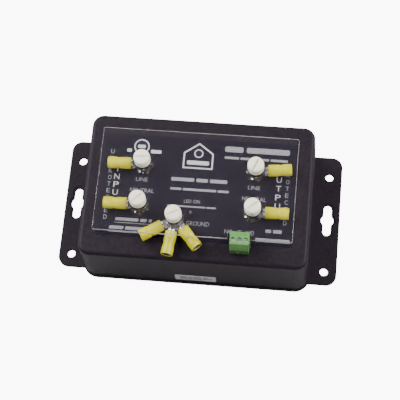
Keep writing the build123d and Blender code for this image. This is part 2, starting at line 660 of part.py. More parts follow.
def relay_contacts():
    """The resting contact below the blade and the working contact above it."""
    top = ARMATURE_TOP
    base = SIGNAL_BOARD_Z
    working = box(3.0, 5.4, RELAY_Y - 1.2, RELAY_Y + 4.0, top + 0.8, top + 1.1)
    working = working + box(3.0, 3.3, RELAY_Y + 1.6, RELAY_Y + 4.0, top + 0.8, base - 1.3)
    working = working + rod(4.5, RELAY_Y, top + 0.5, top + 0.9, 0.75)
    resting = box(3.0, 5.4, RELAY_Y - 4.0, RELAY_Y + 1.2, top - 2.4, top - 2.1)
    resting = resting + box(3.0, 3.3, RELAY_Y - 4.0, RELAY_Y - 1.6, top - 2.4, base - 1.3)
    resting = resting + rod(4.5, RELAY_Y, top - 2.2, top - 1.7, 0.75)
    return [working, resting]


def indicator_led():
    z0 = SIGNAL_BOARD_Z + BOARD_THICK
    lamp = rod(*LED_XY, z0, z0 + 2.2, LED_RADIUS)
    lamp = fillet(lamp.edges().sort_by(Axis.Z)[-1], 0.9)
    return lamp + rod(*LED_XY, z0, z0 + 0.6, LED_RADIUS + 0.4)


def light_pipe():
    """The window in the roof over the LED."""
    return rod(*LED_XY, CASE_TOP - ROOF + 0.1, CASE_TOP + LABEL_THICK, PIPE_RADIUS)


def resistors():
    parts = []
    z = SIGNAL_BOARD_Z - 1.6
    for x in (24.5, 28.0):
        body = Pos(x, -23.6, z) * Rot(90, 0, 0) * Cylinder(1.1, 5.2)
        body = body + Pos(x, -23.6, z) * Rot(90, 0, 0) * Cylinder(0.3, 6.2)
        for side in (-1, 1):
            body = body + rod(x, -23.6 + side * 3.1, z, SIGNAL_BOARD_Z, 0.35)
        parts.append(body)
    return parts


# ------------------------------------------------------------------ write the files
def collect():
    nodes = {
        "enclosure_shell": enclosure_shell(),
        "base_plate": base_plate(),
        "base_screws": base_screws(),
        "label_panel": label_panel(),
        "front_sticker": front_sticker(),
        "terminal_studs": terminal_studs(),
        "base_nuts": base_nuts(),
        "inner_nuts": inner_nuts(),
        "star_washers": [star_washer(name) for name in STUDS],
        "clamp_nuts": clamp_nuts(),
        "safety_cover": safety_cover(),
        "block_housing": block_housing(),
        "block_pins": block_pins(),
        "main_board": main_board(),
        "board_screws": board_screws(),
        "terminal_straps": terminal_straps(),
        "signal_board": signal_board(),
        "signal_board_screws": signal_board_screws(),
        "thermal_cutoffs": thermal_cutoffs(),
        "gas_tube": gas_tube(),
        "filter_capacitor": capacitor(),
        "choke_core": choke_core(),
        "choke_windings": choke_windings(),
        "relay_base": relay_base(),
        "relay_cover": relay_cover(),
        "relay_coil": relay_coil(),
        "relay_yoke": relay_yoke(),
        "relay_armature": relay_armature(),
        "relay_contacts": relay_contacts(),
        "indicator_led": indicator_led(),
        "light_pipe": light_pipe(),
        "resistors": resistors(),
    }
    for name in STUDS:
        nodes["cover_screw_" + name] = cover_screw(name)
    for name, angle in PHASE_RINGS.items():
        nodes["ring_" + name] = ring_tongue(name, angle, PHASE_SEAT, PHASE_SLEEVE_START)
        nodes["sleeve_" + name] = sleeve(name, angle, PHASE_SEAT, PHASE_SLEEVE_START)
    for index, (name, angle) in enumerate(GROUND_RINGS.items()):
        z0 = GROUND_SEAT + index * TONGUE_THICK
        nodes["ring_" + name] = ring_tongue("ground", angle, z0, GROUND_SLEEVE_START)
        nodes["sleeve_" + name] = sleeve("ground", angle, z0, GROUND_SLEEVE_START)
    for name, x in POLES.items():
        nodes["block_screw_" + name] = block_screw(x, POLE_SCREW_TURN[name])
        nodes["block_clamp_" + name] = block_clamp(x)
    for name, x in VARISTOR_X.items():
        nodes["varistor_" + name] = varistor(x, VARISTOR_Y)
    return nodes


os.makedirs("parts", exist_ok=True)
for node, shape in collect().items():
    if isinstance(shape, list):
        shape = Compound(children=[solid for piece in shape for solid in piece.solids()])
    shape.label = node
    export_step(shape, os.path.join("parts", node + ".step"))
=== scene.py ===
import json
from math import asin, cos, pi, radians, sin

import bpy
from mathutils import Matrix, Vector


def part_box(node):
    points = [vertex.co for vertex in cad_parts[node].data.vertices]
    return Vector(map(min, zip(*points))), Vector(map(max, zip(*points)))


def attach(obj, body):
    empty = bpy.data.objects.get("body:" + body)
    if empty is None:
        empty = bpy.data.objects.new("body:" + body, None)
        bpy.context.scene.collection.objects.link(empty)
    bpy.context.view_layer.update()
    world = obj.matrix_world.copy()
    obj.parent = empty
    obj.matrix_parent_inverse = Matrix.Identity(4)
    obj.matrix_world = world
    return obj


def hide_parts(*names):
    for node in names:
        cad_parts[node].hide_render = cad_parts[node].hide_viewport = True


# Looks for the hard-wired surge protector. Metres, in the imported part's own frame: the origin is
# on the underside of the base, +X runs from input to output, -Y is the front and +Z is up.

MM = 0.001
SCENE = bpy.context.scene

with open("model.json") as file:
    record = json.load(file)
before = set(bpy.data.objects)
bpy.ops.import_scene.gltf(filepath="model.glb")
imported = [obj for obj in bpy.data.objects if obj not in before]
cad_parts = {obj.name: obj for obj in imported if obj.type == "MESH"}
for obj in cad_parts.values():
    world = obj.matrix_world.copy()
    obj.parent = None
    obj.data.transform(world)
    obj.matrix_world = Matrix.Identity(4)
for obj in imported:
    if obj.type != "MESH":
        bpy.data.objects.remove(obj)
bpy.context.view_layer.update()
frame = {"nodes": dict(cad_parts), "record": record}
record = frame["record"]

MOUNTS = {mount["name"]: mount for mount in record["mounts"]}
STUD_NAMES = ("line_in", "neutral_in", "ground", "line_out", "neutral_out")
SLEEVE_NAMES = STUD_NAMES[:2] + STUD_NAMES[3:] + ("ground_left", "ground_mid", "ground_right")

# Thumb screws: the angle of each slot in degrees, then the slot, the head and the shank.
SLOT_TURN = {"line_in": 4.0, "neutral_in": 43.0, "ground": 25.0, "line_out": 68.0, "neutral_out": 40.0}
SLOT_WIDTH = 1.0 * MM
SLOT_DEPTH = 1.5 * MM
HEAD_SEGMENTS = 200
HEAD_EDGE = 1.4 * MM
HEAD_CROWN = 0.22 * MM
CROWN_SHARES = (0.12, 0.24, 0.36, 0.48, 0.6, 0.72, 0.84, 0.94)
EDGE_STEPS = 12
SHANK_RADIUS = 2.3 * MM

# Vinyl sleeves: (distance from the tongue end, radius) in millimetres, outside then inside.
SLEEVE_START = -2.8 * MM
SLEEVE_PROFILE = (
    (0.0, 2.62), (0.0, 3.02), (0.12, 3.2), (0.45, 3.32), (1.5, 3.35), (3.0, 3.34), (5.0, 3.28),
    (6.3, 3.18), (6.9, 3.1), (7.2, 3.02), (7.45, 3.02), (7.7, 3.14), (8.3, 3.26), (9.0, 3.34),
    (10.0, 3.39), (11.4, 3.4), (11.7, 3.38), (11.8, 3.32), (11.95, 3.32), (12.1, 3.37), (12.7, 3.34),
    (13.0, 3.28), (13.18, 3.18), (13.2, 3.08), (13.12, 2.98), (12.8, 2.86), (12.0, 2.66), (10.8, 2.62),
    (6.0, 2.62),
)
SLEEVE_BORE_ROW = 25  # the first profile step that lies inside the bore
SLEEVE_SEGMENTS = 64

# Safety cover: outline and notch, taken from the CAD plate and the alarm block.
COVER_CORNER = 1.2 * MM
COVER_BEVEL = 0.22 * MM
COVER_HOLE = 2.9 * MM
CORNER_STEPS = 6
RING_SEGMENTS = 64
NOTCH_X = (19.6 * MM, 32.4 * MM)
NOTCH_BACK = -25.9 * MM

# Printing, in millimetres: each word's middle, width and height.
PRINT_THICK = 0.02 * MM
TERMINAL_WORDS = (
    ("LINE", -31.6, 3.7, 6.7, 2.3),
    ("LINE", 31.4, 3.1, 6.7, 2.3),
    ("NEUTRAL", -30.9, -2.8, 13.4, 2.4),
    ("NEUTRAL", 31.9, -3.5, 13.4, 2.4),
    ("LED ON", -2.35, -7.3, 8.9, 2.0),
    ("GROUND", 1.9, -20.0, 12.7, 2.5),
    ("NC", 19.2, -23.2, 4.2, 2.5),
    ("C", 25.3, -23.2, 2.0, 2.5),
    ("NO", 31.2, -23.2, 4.4, 2.5),
)

# Columns of upright letters: x, the first letter's middle, pitch, width and height.
END_COLUMNS = (
    ("UNPROTECTED", -49.8, 19.26, 3.89, 2.0, 2.6),
    ("PROTECTED", 49.8, 15.8, 3.99, 1.95, 2.5),
)
SIDE_COLUMNS = (
    ("INPUT", -45.8, 9.2, 4.7, 3.0, 3.3),
    ("OUTPUT", 45.0, 14.0, 5.2, 3.0, 3.3),
)
NARROW_I = 0.25

# Rows of bars for lines of small text: middle, width, height, the words' shares and the slant.
BAR_GAP = 0.55
ITALIC = 0.2
LED_ROW = (-2.4, -10.4, 27.2, 0.9, (8, 2), 0.0)
TEXT_ROWS = (
    (31.65, 25.0, 36.4, 3.3, (3, 7), 0.0),
    (31.35, 19.9, 35.5, 1.4, (5, 10, 6), 0.0),
    (0.55, 5.3, 31.5, 2.1, (4, 2, 3), 0.0),
    (1.2, -0.4, 32.8, 1.4, (3, 9, 3), 0.0),
    (-33.7, -20.3, 20.6, 1.8, (7, 2, 1), ITALIC),
    (-36.4, -25.3, 21.0, 1.9, (4, 6), ITALIC),
    (44.0, -21.4, 9.0, 2.0, (2, 3), 0.0),
    (43.7, -26.6, 18.8, 1.9, (9,), 0.0),
)
UNDERLINES = ((-44.2, -23.0, -22.5, -22.2), (-47.2, -25.6, -27.7, -27.4))
UNDERLINE_CORNER = 0.1

# Plain marks: a ringed bar with a bar on each side, and a house with a ring over a bar.
BADGE = (-33.6, 23.3, 4.4, 3.6)
BADGE_BAR = (-35.8, -31.4, 22.3, 24.3, 0.5)
BADGE_SIDES = ((-25.2, 20.6, 6.0, 2.0, (2,)), (-40.4, 20.6, 2.8, 2.0, (2,)))
HOUSE_OUTER = ((-9.6, 12.0), (7.4, 12.0), (7.4, 21.5), (-1.1, 27.6), (-9.6, 21.5))
HOUSE_INNER = ((-8.7, 12.9), (6.5, 12.9), (6.5, 21.0), (-1.1, 26.5), (-8.7, 21.0))
HOUSE_BAR = (-1.1, 15.6, 12.5, 2.4, (3,))
HOUSE_RING = (-1.1, 21.2, 2.6, 1.9)

# Bars on the silver tag, from its middle, and the front wall's lean in degrees.
TAG_ROWS = (
    (-1.0, 1.6, 16.0, 1.0, (3, 5, 2)),
    (0.5, -0.6, 19.0, 1.0, (6, 4, 5)),
    (-2.0, -2.6, 12.0, 0.8, (2, 4)),
)
TAG_LEAN = 2.2
TAG_STANDOFF = 0.055 * MM

# Setting, in metres, degrees and watts.
FLOOR_HALF = 6.0
FLOOR_LEVEL = -0.0005
BACKDROP_GLOW = 10.0
SKY_GLOW = 0.25
LIGHT_AIM = Vector((0, 0, 0.045))
SOFTBOXES = {  # azimuth, elevation, distance, width, height, power
    "back_softbox": (180, 30, 1.4, 1.6, 0.5, 3.0),
    "left_softbox": (-108, 40, 1.0, 1.0, 0.9, 23.0),
    "right_softbox": (106, 40, 1.0, 1.0, 0.9, 22.0),
    "front_fill": (10, 35, 1.2, 1.0, 0.6, 1.6),
}
CAMERA_AZIMUTH, CAMERA_ELEVATION, CAMERA_ROLL = 14.746, 71.366, 10.044
CAMERA_AIM = Vector((0.001971, -0.005873, 0.042))
CAMERA_DISTANCE = 0.6663
CAMERA_LENS, CAMERA_SENSOR = 107.87, 36.0


# ------------------------------------------------------------------ mesh helpers
def new_object(name, verts, faces, smooth=True):
    mesh = bpy.data.meshes.new(name)
    mesh.from_pydata([tuple(v) for v in verts], [], faces)
    mesh.validate()
    for polygon in mesh.polygons:
        polygon.use_smooth = smooth
    made = bpy.data.objects.new(name, mesh)
    SCENE.collection.objects.link(made)
    return made


def finish_piece(made, body, slot, material, *stands_for):
    """Gives a new piece its material and its body. The slot is not used."""
    if material is not None:
        made.data.materials.append(material)
    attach(made, body)
    if stands_for:
        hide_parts(*stands_for)
    return made


def lathe(profile, segments, closed):
    """Turns (distance, radius) points about the X axis. A point of radius 0 becomes one vertex."""
    verts, rings = [], []
    for along, radius in profile:
        if radius == 0:
            rings.append([len(verts)] * segments)
            verts.append(Vector((along, 0, 0)))
            continue
        rings.append(list(range(len(verts), len(verts) + segments)))
        for index in range(segments):
            turn = 2 * pi * index / segments
            verts.append(Vector((along, radius * cos(turn), radius * sin(turn))))
    pairs = list(zip(rings, rings[1:]))
    if closed:
        pairs.append((rings[-1], rings[0]))
    faces = []
    for low, high in pairs:
        for index in range(segments):
            after = (index + 1) % segments
            face = [low[index], low[after], high[after], high[index]]
            face = [v for place, v in enumerate(face) if v not in face[:place]]
            if len(face) > 2:
                faces.append(face)
    return verts, faces


def lathe_frame(origin, axis):
    """A matrix that puts the lathe's X axis along a level axis from a point."""
    along = Vector(axis).normalized()
    up = Vector((0, 0, 1))
    side = up.cross(along)
    turn = Matrix((along, side, up)).transposed().to_4x4()
    return Matrix.Translation(Vector(origin)) @ turn


# ------------------------------------------------------------------ material helpers
def new_material(name):
    material = bpy.data.materials.new(name)
    material.use_nodes = True
    tree = material.node_tree
    shader = tree.nodes["Principled BSDF"]
    return material, tree, shader


def object_coordinates(tree, stretch=(1, 1, 1), shift=(0, 0, 0)):
    """Object coordinates, which are the part's own frame in metres, stretched and shifted."""
    source = tree.nodes.new("ShaderNodeTexCoord")
    mapping = tree.nodes.new("ShaderNodeMapping")
    mapping.inputs["Scale"].default_value = stretch
    mapping.inputs["Location"].default_value = shift
    tree.links.new(source.outputs["Object"], mapping.inputs["Vector"])
    return mapping.outputs["Vector"]


def add_noise(tree, vector, scale, detail=2.0, roughness=0.5):
    noise = tree.nodes.new("ShaderNodeTexNoise")
    noise.inputs["Scale"].default_value = scale
    noise.inputs["Detail"].default_value = detail
    noise.inputs["Roughness"].default_value = roughness
    tree.links.new(vector, noise.inputs["Vector"])
    return noise.outputs["Fac"]


def add_ramp(tree, value, stops):
    """A colour ramp from (place, colour) stops."""
    ramp = tree.nodes.new("ShaderNodeValToRGB")
    elements = ramp.color_ramp.elements
    while len(elements) < len(stops):
        elements.new(0.5)
    for element, (place, colour) in zip(elements, stops):
        element.position = place
        element.color = (*colour, 1)
    tree.links.new(value, ramp.inputs["Fac"])
    return ramp.outputs["Color"]


def add_bump(tree, shader, height, strength, distance):
    bump = tree.nodes.new("ShaderNodeBump")
    bump.inputs["Strength"].default_value = strength
    bump.inputs["Distance"].default_value = distance
    tree.links.new(height, bump.inputs["Height"])
    tree.links.new(bump.outputs["Normal"], shader.inputs["Normal"])


def speckled(name, dark, light, roughness, scale=900.0, metallic=0.0, bump=0.0, bump_scale=2500.0,
             distance=0.00004, stretch=(1, 1, 1), contrast=(0.35, 0.65), specular=0.5, tint=(1, 1, 1)):
    """A finish that wanders between two close colours, with an optional fine bump."""
    material, tree, shader = new_material(name)
    vector = object_coordinates(tree, stretch)
    mottle = add_noise(tree, vector, scale)
    colour = add_ramp(tree, mottle, ((contrast[0], dark), (contrast[1], light)))
    tree.links.new(colour, shader.inputs["Base Color"])
    shader.inputs["Roughness"].default_value = roughness
    shader.inputs["Metallic"].default_value = metallic
    shader.inputs["Specular IOR Level"].default_value = specular
    shader.inputs["Specular Tint"].default_value = (*tint, 1)
    if bump:
        grain = add_noise(tree, vector, bump_scale, detail=3.0)
        add_bump(tree, shader, grain, bump, distance)
    return material


# ------------------------------------------------------------------ materials
def case_plastic():
    return speckled("case_plastic", (0.0080, 0.0058, 0.0084), (0.0120, 0.0092, 0.0126), 0.45,
                    scale=700.0, bump=0.35, bump_scale=2400.0, distance=0.00006, specular=0.14,
                    tint=(0.98, 0.84, 1.0))


def label_film():
    return speckled("label_film", (0.0050, 0.0034, 0.0080), (0.0068, 0.0048, 0.0104), 0.3,
                    scale=300.0, bump=0.05, bump_scale=1500.0, specular=0.15)


def label_ink():
    return speckled("label_ink", (0.34, 0.34, 0.35), (0.42, 0.42, 0.43), 0.5, scale=1500.0)


def faint_ink():
    return speckled("faint_ink", (0.15, 0.15, 0.16), (0.21, 0.21, 0.22), 0.5, scale=1500.0)


def sticker_film():
    return speckled("sticker_film", (0.50, 0.50, 0.52), (0.58, 0.58, 0.60), 0.35, scale=500.0, metallic=0.3,
                    bump=0.05)


def sticker_ink():
    return speckled("sticker_ink", (0.02, 0.02, 0.02), (0.03, 0.03, 0.03), 0.5, scale=900.0)


def white_nylon():
    material, tree, shader = new_material("white_nylon")
    vector = object_coordinates(tree)
    mottle = add_noise(tree, vector, 500.0)
    colour = add_ramp(tree, mottle, ((0.3, (0.80, 0.765, 0.59)), (0.7, (0.86, 0.825, 0.67))))
    tree.links.new(colour, shader.inputs["Base Color"])
    shader.inputs["Roughness"].default_value = 0.35
    shader.inputs["Subsurface Weight"].default_value = 0.35
    shader.inputs["Subsurface Radius"].default_value = (1.0, 0.9, 0.6)
    shader.inputs["Subsurface Scale"].default_value = 0.0015
    grain = add_noise(tree, vector, 1500.0)
    add_bump(tree, shader, grain, 0.08, 0.00004)
    return material


def yellow_vinyl():
    material, tree, shader = new_material("yellow_vinyl")
    vector = object_coordinates(tree)
    mottle = add_noise(tree, vector, 350.0)
    colour = add_ramp(tree, mottle, ((0.3, (0.40, 0.365, 0.001)), (0.7, (0.47, 0.43, 0.002))))
    tree.links.new(colour, shader.inputs["Base Color"])
    shader.inputs["Specular IOR Level"].default_value = 0.4
    shader.inputs["Roughness"].default_value = 0.24
    shader.inputs["Subsurface Weight"].default_value = 0.25
    shader.inputs["Subsurface Radius"].default_value = (1.0, 0.8, 0.1)
    shader.inputs["Subsurface Scale"].default_value = 0.001
    grain = add_noise(tree, vector, 900.0)
    add_bump(tree, shader, grain, 0.1, 0.00006)
    return material


def bore_painted_shade():
    """The inside of a sleeve, painted dark as shade."""
    return speckled("bore_painted_shade", (0.050, 0.048, 0.030), (0.075, 0.072, 0.045), 0.5, scale=900.0, bump=0.1)


def tinned_copper():
    return speckled("tinned_copper", (0.66, 0.64, 0.60), (0.80, 0.78, 0.75), 0.16, scale=900.0, metallic=1.0,
                    bump=0.5, bump_scale=800.0, distance=0.00012)


def nickel_brass():
    return speckled("nickel_brass", (0.42, 0.41, 0.39), (0.56, 0.54, 0.51), 0.08, scale=800.0, metallic=1.0,
                    bump=0.04)


def spring_steel():
    return speckled("spring_steel", (0.62, 0.62, 0.63), (0.80, 0.80, 0.80), 0.1, scale=900.0, metallic=1.0,
                    bump=0.5, bump_scale=700.0, distance=0.00015)


def zinc_steel():
    return speckled("zinc_steel", (0.62, 0.63, 0.65), (0.74, 0.74, 0.75), 0.32, scale=900.0, metallic=1.0,
                    bump=0.08)


def green_plastic():
    return speckled("green_plastic", (0.072, 0.205, 0.046), (0.090, 0.243, 0.058), 0.38, scale=700.0,
                    bump=0.08, specular=0.25)


def circuit_board():
    return speckled("circuit_board", (0.012, 0.075, 0.030), (0.020, 0.105, 0.045), 0.35, scale=300.0,
                    bump=0.1, bump_scale=1200.0)


def bare_copper():
    return speckled("bare_copper", (0.62, 0.29, 0.16), (0.75, 0.38, 0.22), 0.3, scale=500.0, metallic=1.0,
                    bump=0.08, stretch=(1, 4, 1))


def enamel_copper():
    return speckled("enamel_copper", (0.38, 0.12, 0.045), (0.48, 0.17, 0.06), 0.22, scale=400.0, metallic=0.8)


def ferrite():
    return speckled("ferrite", (0.035, 0.034, 0.036), (0.06, 0.058, 0.06), 0.55, scale=1500.0, bump=0.2)


def varistor_coat():
    return speckled("varistor_coat", (0.035, 0.10, 0.26), (0.05, 0.13, 0.32), 0.4, scale=500.0, bump=0.15,
                    bump_scale=900.0)


def cutoff_body():
    return speckled("cutoff_body", (0.52, 0.50, 0.46), (0.62, 0.60, 0.56), 0.45, scale=700.0, bump=0.1)


def ceramic_white():
    return speckled("ceramic_white", (0.70, 0.68, 0.64), (0.80, 0.78, 0.74), 0.3, scale=500.0, bump=0.05)


def capacitor_box():
    return speckled("capacitor_box", (0.42, 0.30, 0.035), (0.50, 0.36, 0.05), 0.4, scale=500.0, bump=0.06)


def relay_plastic():
    return speckled("relay_plastic", (0.010, 0.020, 0.055), (0.016, 0.030, 0.075), 0.35, scale=600.0,
                    bump=0.06)


def resistor_body():
    """Painted bands across a buff body."""
    material, tree, shader = new_material("resistor_body")
    vector = object_coordinates(tree)
    waves = tree.nodes.new("ShaderNodeTexWave")
    waves.bands_direction = "Y"
    waves.inputs["Scale"].default_value = 220.0
    tree.links.new(vector, waves.inputs["Vector"])
    colour = add_ramp(tree, waves.outputs["Fac"], ((0.55, (0.42, 0.30, 0.16)), (0.75, (0.16, 0.05, 0.02))))
    tree.links.new(colour, shader.inputs["Base Color"])
    shader.inputs["Roughness"].default_value = 0.4
    return material


def led_lens(centre):
    """A small window with a dark rim and a milky middle, set out from its own centre."""
    material, tree, shader = new_material("led_lens")
    vector = object_coordinates(tree, shift=(-centre.x, -centre.y, -centre.z))
    flat = tree.nodes.new("ShaderNodeVectorMath")
    flat.operation = "MULTIPLY"
    flat.inputs[1].default_value = (500.0, 500.0, 0.0)
    tree.links.new(vector, flat.inputs[0])
    reach = tree.nodes.new("ShaderNodeVectorMath")
    reach.operation = "LENGTH"
    tree.links.new(flat.outputs["Vector"], reach.inputs[0])
    stops = ((0.30, (0.045, 0.045, 0.048)), (0.52, (0.012, 0.012, 0.013)), (0.80, (0.004, 0.004, 0.005)))
    colour = add_ramp(tree, reach.outputs["Value"], stops)
    tree.links.new(colour, shader.inputs["Base Color"])
    shader.inputs["Roughness"].default_value = 0.2
    return material


def clear_plastic():
    """Polished clear plastic. Light passes straight through it for shadows."""
    material, tree, shader = new_material("clear_plastic")
    vector = object_coordinates(tree)
    cloud = add_noise(tree, vector, 60.0)
    tint = add_ramp(tree, cloud, ((0.3, (0.97, 0.975, 0.98)), (0.7, (0.99, 0.99, 0.99))))
    tree.links.new(tint, shader.inputs["Base Color"])
    shader.inputs["Roughness"].default_value = 0.03
    shader.inputs["IOR"].default_value = 1.49
    shader.inputs["Transmission Weight"].default_value = 1.0
    let_light_through(tree, shader)
    return material


def frosted_edge_highlight():
    """The cover's cut edges: frosted, and painted lighter than its faces as a highlight."""
    return speckled("clear_plastic_edge", (0.50, 0.50, 0.51), (0.62, 0.62, 0.63), 0.55, scale=900.0, bump=0.1)


def let_light_through(tree, shader):
    """Shadow rays see a transparent surface, so what lies under clear plastic stays lit."""
    path = tree.nodes.new("ShaderNodeLightPath")
    clear = tree.nodes.new("ShaderNodeBsdfTransparent")
    choose = tree.nodes.new("ShaderNodeMixShader")
    tree.links.new(path.outputs["Is Shadow Ray"], choose.inputs["Fac"])
    tree.links.new(shader.outputs["BSDF"], choose.inputs[1])
    tree.links.new(clear.outputs["BSDF"], choose.inputs[2])
    output = tree.nodes["Material Output"]
    tree.links.new(choose.outputs["Shader"], output.inputs["Surface"])


def dress_nodes(finishes):
    """Gives every CAD node the finish of its slot."""
    for part in record["subparts"]:
        node = frame["nodes"][part["node"]]
        node.data.materials.clear()
        node.data.materials.append(finishes[part["material_slot"]])


# ------------------------------------------------------------------ thumb screws
def head_profile(height, radius, shank_bottom):
    """(radius, height above the cover) from the crown's middle, over the rim and down the shank."""
    flat = radius - HEAD_EDGE
    shoulder = height - HEAD_CROWN - HEAD_EDGE
    points = [(0.0, height)]
    for share in CROWN_SHARES:
        points.append((share * flat, height - HEAD_CROWN * share ** 2))
    for index in range(EDGE_STEPS + 1):
        turn = radians(90 * index / EDGE_STEPS)
        points.append((flat + HEAD_EDGE * sin(turn), shoulder + HEAD_EDGE * cos(turn)))
    points += [(radius, level * MM) for level in (3.4, 2.4, 1.2, 0.4)]
    points += [(radius - 0.1 * MM, 0.12 * MM), (radius - 0.35 * MM, 0.0)]
    points += [(SHANK_RADIUS + 0.2 * MM, 0.0), (SHANK_RADIUS, -0.2 * MM)]
    points += [(SHANK_RADIUS, shank_bottom + 0.4 * MM), (SHANK_RADIUS - 0.4 * MM, shank_bottom)]
    points.append((0.0, shank_bottom))
    return points


def slot_angle(angle, radius, across):
    """Moves a point near a slot's wall exactly onto the wall, without leaving its circle."""
    if radius <= across:
        return angle
    wall = asin(across / radius)
    step = 2 * pi / HEAD_SEGMENTS
    for target in (wall, pi - wall, pi + wall, 2 * pi - wall):
        gap = (angle - target + pi) % (2 * pi) - pi
        if abs(gap) < step / 2:
            return target
    return angle


def thumb_screw(name, finish):
    """One slotted nylon screw, modelled over its CAD node."""
    node = "cover_screw_" + name
    low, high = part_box(node)
    cover_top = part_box("safety_cover")[1].z
    middle = Vector(((low.x + high.x) / 2, (low.y + high.y) / 2, cover_top))
    height = high.z - cover_top
    radius = (high.x - low.x) / 2
    profile = head_profile(height, radius, low.z - cover_top)
    floor = height - SLOT_DEPTH
    turn = radians(SLOT_TURN[name])
    verts, rings = [], []
    for reach, level in profile:
        if reach == 0:
            level = min(level, floor)
            rings.append([len(verts)] * HEAD_SEGMENTS)
            verts.append(middle + Vector((0, 0, level)))
            continue
        ring = []
        for index in range(HEAD_SEGMENTS):
            angle = slot_angle(2 * pi * index / HEAD_SEGMENTS, reach, SLOT_WIDTH / 2)
            inside = abs(reach * sin(angle)) < SLOT_WIDTH / 2 - 1e-7
            drop = min(level, floor) if inside else level
            ring.append(len(verts))
            verts.append(middle + Vector((reach * cos(angle + turn), reach * sin(angle + turn), drop)))
        rings.append(ring)
    faces = []
    for upper, lower in zip(rings, rings[1:]):
        for index in range(HEAD_SEGMENTS):
            after = (index + 1) % HEAD_SEGMENTS
            face = [upper[index], lower[index], lower[after], upper[after]]
            face = [v for place, v in enumerate(face) if v not in face[:place]]
            faces.append(face)
    made = new_object("nylon_screw_" + name, verts, faces)
    finish_piece(made, node, "white_nylon", finish, node)


# ------------------------------------------------------------------ sleeves
def vinyl_sleeve(name, finish, bore_shade_finish):
    """One insulating sleeve, turned along its conductor's axis, with its bore painted dark as shade."""
    mount = MOUNTS["wire_" + name]
    place = lathe_frame(mount["pos_m"], mount["axis"])
    profile = [(SLEEVE_START + along * MM, radius * MM) for along, radius in SLEEVE_PROFILE]
    verts, faces = lathe(profile, SLEEVE_SEGMENTS, closed=True)
    made = new_object("vinyl_sleeve_" + name, [place @ v for v in verts], faces)
    finish_piece(made, "housing", "yellow_vinyl", finish, "sleeve_" + name)
    made.data.materials.append(bore_shade_finish)
    # The bore's faces take the painted shade.
    for polygon in made.data.polygons[SLEEVE_SEGMENTS * SLEEVE_BORE_ROW:]:
        polygon.material_index = 1


# ------------------------------------------------------------------ safety cover
def corner_arc(x, y, radius, start):
    """Points round a quarter circle about (x, y)."""
    turns = [radians(start + 90 * step / CORNER_STEPS) for step in range(CORNER_STEPS + 1)]
    return [(x + radius * cos(turn), y + radius * sin(turn)) for turn in turns]


def cover_outline(low, high):
    inset = COVER_CORNER
    points = corner_arc(high.x - inset, high.y - inset, inset, 0)
    points += corner_arc(low.x + inset, high.y - inset, inset, 90)
    points += corner_arc(low.x + inset, low.y + inset, inset, 180)
    points += [(NOTCH_X[0], low.y), (NOTCH_X[0], NOTCH_BACK), (NOTCH_X[1], NOTCH_BACK), (NOTCH_X[1], low.y)]
    points += corner_arc(high.x - inset, low.y + inset, inset, 270)
    return points


def add_loop(curve, points):
    loop = curve.splines.new("POLY")
    loop.points.add(len(points) - 1)
    for point, (x, y) in zip(loop.points, points):
        point.co = (x, y, 0, 1)
    loop.use_cyclic_u = True


def curve_mesh(curve, name, level):
    """The filled mesh of a flat curve, at a height."""
    holder = bpy.data.objects.new(name, curve)
    SCENE.collection.objects.link(holder)
    bpy.context.view_layer.update()
    graph = bpy.context.evaluated_depsgraph_get()
    mesh = bpy.data.meshes.new_from_object(holder.evaluated_get(graph))
    bpy.data.objects.remove(holder)
    mesh.transform(Matrix.Translation((0, 0, level)))
    mesh.name = name
    return mesh


def safety_cover(face_finish, edge_highlight_finish):
    low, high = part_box("safety_cover")
    curve = bpy.data.curves.new("cover", "CURVE")
    curve.dimensions = "2D"
    curve.fill_mode = "BOTH"
    curve.extrude = (high.z - low.z) / 2 - COVER_BEVEL
    curve.bevel_depth = COVER_BEVEL
    curve.bevel_resolution = 1
    curve.offset = -COVER_BEVEL
    add_loop(curve, cover_outline(low, high))
    for name in STUD_NAMES:
        x, y = stud_centre(name)
        add_loop(curve, ring_outline(x, y, COVER_HOLE))
    mesh = curve_mesh(curve, "clear_cover", (low.z + high.z) / 2)
    made = bpy.data.objects.new("clear_cover", mesh)
    SCENE.collection.objects.link(made)
    mesh.materials.clear()
    mesh.materials.append(face_finish)
    mesh.materials.append(edge_highlight_finish)
    # Flat faces stay clear; the edge faces take the frosted finish with its painted highlight.
    for polygon in mesh.polygons:
        polygon.material_index = 0 if abs(polygon.normal.z) > 0.9 else 1
    finish_piece(made, "cover", "clear_plastic", None, "safety_cover")


def stud_centre(name):
    low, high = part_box("cover_screw_" + name)
    return (low.x + high.x) / 2, (low.y + high.y) / 2


# ------------------------------------------------------------------ printing
def slab(x0, x1, y0, y1, corner):
    """The outline of a small rounded bar, in millimetres."""
    points = []
    for x, y, start in ((x1 - corner, y1 - corner, 0), (x0 + corner, y1 - corner, 90),
                        (x0 + corner, y0 + corner, 180), (x1 - corner, y0 + corner, 270)):
        for step in range(4):
            turn = radians(start + 30 * step)
            points.append((x + corner * cos(turn), y + corner * sin(turn)))
    return points


def slanted(points, centre_y, slope):
    return [(x + (y - centre_y) * slope, y) for x, y in points]


def prism(outline, level, thick):
    """A thin closed solid over an outline in millimetres."""
    count = len(outline)
    verts = [Vector((x * MM, y * MM, level)) for x, y in outline]
    verts += [Vector((x * MM, y * MM, level + thick)) for x, y in outline]
    faces = [list(range(count))[::-1], list(range(count, 2 * count))]
    faces += [[i, (i + 1) % count, count + (i + 1) % count, count + i] for i in range(count)]
    return verts, faces


def band(outer, inner, level, thick):
    """A thin closed ring between two outlines with the same number of points."""
    count = len(outer)
    verts = []
    for height in (level, level + thick):
        for outline in (outer, inner):
            verts += [Vector((x * MM, y * MM, height)) for x, y in outline]
    faces = []
    for i in range(count):
        j = (i + 1) % count
        faces.append([i, j, 2 * count + j, 2 * count + i])
        faces.append([count + j, count + i, 3 * count + i, 3 * count + j])
        faces.append([2 * count + i, 2 * count + j, 3 * count + j, 3 * count + i])
        faces.append([j, i, count + i, count + j])
    return verts, faces


